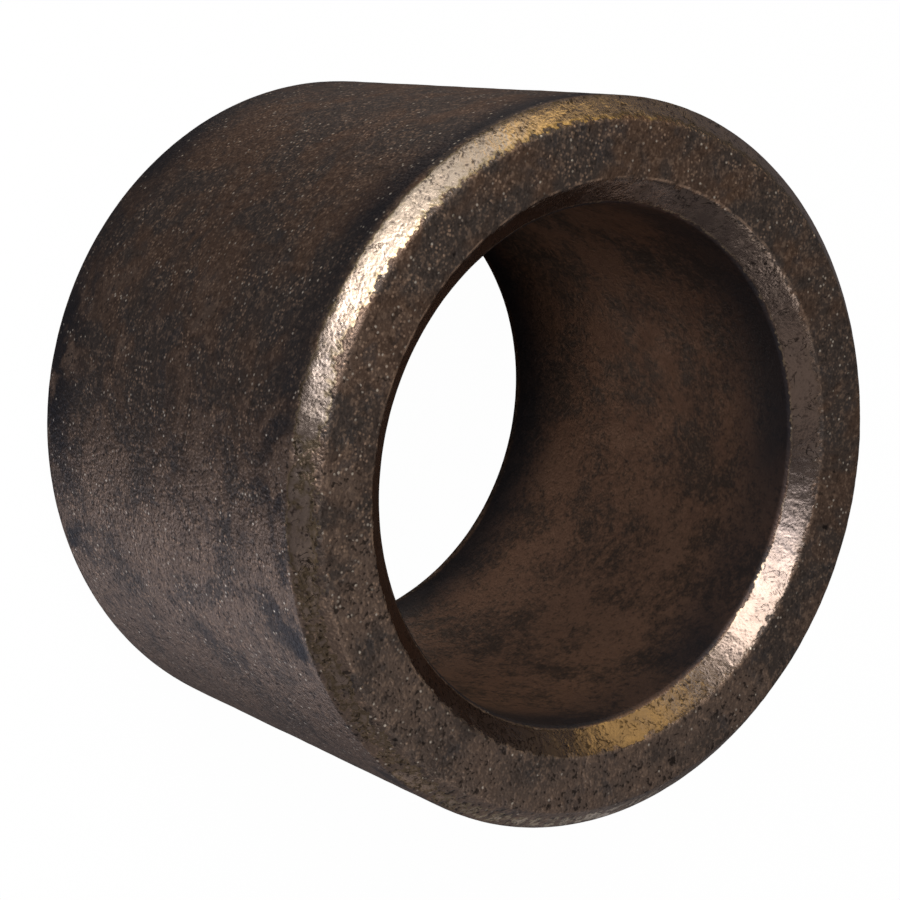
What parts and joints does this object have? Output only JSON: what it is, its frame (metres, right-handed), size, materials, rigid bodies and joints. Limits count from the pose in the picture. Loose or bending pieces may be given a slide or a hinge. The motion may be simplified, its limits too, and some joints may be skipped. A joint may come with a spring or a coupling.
{
  "type": "sleeve bushing",
  "caption": "Plain sleeve bushing of oil-filled sintered bronze, a short thick-walled ring with chamfered rims, pressed into a housing to carry a turning shaft.",
  "frame": {"origin": "on the bore's axis, in the plane of the lower end face", "axes": "+Z along the bore; the sleeve is the same all round and at both ends"},
  "size_m": [0.0223, 0.0222, 0.0159],
  "materials": {
    "sintered_bronze": "matt, porous, oil-darkened bronze with rubbed golden rims"
  },
  "bodies": {
    "root": {"bushing_sleeve": "sintered_bronze"}
  },
  "joints": []
}
